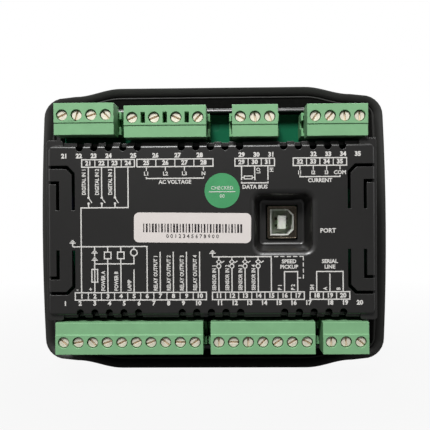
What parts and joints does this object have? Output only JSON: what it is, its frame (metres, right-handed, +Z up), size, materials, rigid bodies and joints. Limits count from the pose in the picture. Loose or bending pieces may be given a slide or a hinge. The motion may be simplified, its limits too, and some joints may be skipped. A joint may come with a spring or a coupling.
{
  "type": "genset controller",
  "caption": "Panel-mounted generator controller with a wavy bezel, a notched rear case, a service socket recess and pluggable green screw terminals along both long edges.",
  "frame": {"origin": "centre of the panel seat, in the plane where the bezel's lip meets the panel's front face", "axes": "+Y from the panel to the viewer of the display, +Z up, +X right as seen from behind"},
  "size_m": [0.135, 0.0446, 0.11],
  "materials": {
    "case_black": "fine satin texture",
    "overlay_grey": "satin film",
    "window_clear": "clear",
    "display_glass": "polished",
    "board_green": "solder mask",
    "screw_steel": "zinc plated",
    "part_black": "moulded",
    "lens_clear": "clear lens",
    "gasket_rubber": "foam rubber",
    "spacer_white": "moulded",
    "part_blue": "sleeved",
    "pin_tin": "tinned",
    "socket_steel": "nickel plated",
    "socket_white": "moulded",
    "contact_gold": "gold flash",
    "label_white": "printed film",
    "sticker_green": "printed film",
    "key_red": "satin",
    "key_green": "satin",
    "key_grey": "satin",
    "key_dark": "satin",
    "terminal_green": "moulded polyamide",
    "screw_nickel": "nickel plated",
    "clamp_steel": "tinned"
  },
  "bodies": {
    "case": {"front_bezel": "case_black", "rear_cover": "case_black", "face_overlay": "overlay_grey", "display_window": "window_clear", "display_module": "display_glass", "front_board": "board_green", "main_board": "board_green", "board_screws": "screw_steel", "tact_switches": "part_black", "indicator_lenses": "lens_clear", "panel_gasket": "gasket_rubber", "board_spacers": "spacer_white", "board_link": "part_black", "output_relays": "part_black", "current_sensors": "part_blue", "capacitors": "part_blue", "processor": "part_black", "header_pins": "pin_tin", "usb_shell": "socket_steel", "usb_insert": "socket_white", "usb_contacts": "contact_gold", "id_label": "label_white", "round_sticker": "sticker_green", "header_power": "terminal_green", "header_sensors": "terminal_green", "header_serial": "terminal_green", "header_inputs": "terminal_green", "header_voltage": "terminal_green", "header_bus": "terminal_green", "header_current": "terminal_green"},
    "key_stop": {"key_stop": "key_red"},
    "key_manual": {"key_manual": "key_grey"},
    "key_auto": {"key_auto": "key_grey"},
    "key_start": {"key_start": "key_green"},
    "key_up": {"key_up": "key_dark"},
    "key_enter": {"key_enter": "key_dark"},
    "key_down": {"key_down": "key_dark"},
    "plug_power": {"plug_power": "terminal_green", "screws_power": "screw_nickel", "clamps_power": "clamp_steel"},
    "plug_sensors": {"plug_sensors": "terminal_green", "screws_sensors": "screw_nickel", "clamps_sensors": "clamp_steel"},
    "plug_serial": {"plug_serial": "terminal_green", "screws_serial": "screw_nickel", "clamps_serial": "clamp_steel"},
    "plug_inputs": {"plug_inputs": "terminal_green", "screws_inputs": "screw_nickel", "clamps_inputs": "clamp_steel"},
    "plug_voltage": {"plug_voltage": "terminal_green", "screws_voltage": "screw_nickel", "clamps_voltage": "clamp_steel"},
    "plug_bus": {"plug_bus": "terminal_green", "screws_bus": "screw_nickel", "clamps_bus": "clamp_steel"},
    "plug_current": {"plug_current": "terminal_green", "screws_current": "screw_nickel", "clamps_current": "clamp_steel"}
  },
  "joints": [
    {"name": "key_stop_press", "type": "slide", "parent": "case", "child": "key_stop", "axis": [0, -1, 0], "range_m": [0, 0.0008], "stiffness_N_per_m": 1800},
    {"name": "key_manual_press", "type": "slide", "parent": "case", "child": "key_manual", "axis": [0, -1, 0], "range_m": [0, 0.0008], "stiffness_N_per_m": 1800},
    {"name": "key_auto_press", "type": "slide", "parent": "case", "child": "key_auto", "axis": [0, -1, 0], "range_m": [0, 0.0008], "stiffness_N_per_m": 1800},
    {"name": "key_start_press", "type": "slide", "parent": "case", "child": "key_start", "axis": [0, -1, 0], "range_m": [0, 0.0008], "stiffness_N_per_m": 1800},
    {"name": "key_up_press", "type": "slide", "parent": "case", "child": "key_up", "axis": [0, -1, 0], "range_m": [0, 0.0008], "stiffness_N_per_m": 1800},
    {"name": "key_enter_press", "type": "slide", "parent": "case", "child": "key_enter", "axis": [0, -1, 0], "range_m": [0, 0.0008], "stiffness_N_per_m": 1800},
    {"name": "key_down_press", "type": "slide", "parent": "case", "child": "key_down", "axis": [0, -1, 0], "range_m": [0, 0.0008], "stiffness_N_per_m": 1800},
    {"name": "plug_power_pull", "type": "slide", "parent": "case", "child": "plug_power", "axis": [0, -1, 0], "range_m": [0, 0.012]},
    {"name": "plug_sensors_pull", "type": "slide", "parent": "case", "child": "plug_sensors", "axis": [0, -1, 0], "range_m": [0, 0.012]},
    {"name": "plug_serial_pull", "type": "slide", "parent": "case", "child": "plug_serial", "axis": [0, -1, 0], "range_m": [0, 0.012]},
    {"name": "plug_inputs_pull", "type": "slide", "parent": "case", "child": "plug_inputs", "axis": [0, -1, 0], "range_m": [0, 0.012]},
    {"name": "plug_voltage_pull", "type": "slide", "parent": "case", "child": "plug_voltage", "axis": [0, -1, 0], "range_m": [0, 0.012]},
    {"name": "plug_bus_pull", "type": "slide", "parent": "case", "child": "plug_bus", "axis": [0, -1, 0], "range_m": [0, 0.012]},
    {"name": "plug_current_pull", "type": "slide", "parent": "case", "child": "plug_current", "axis": [0, -1, 0], "range_m": [0, 0.012]}
  ]
}
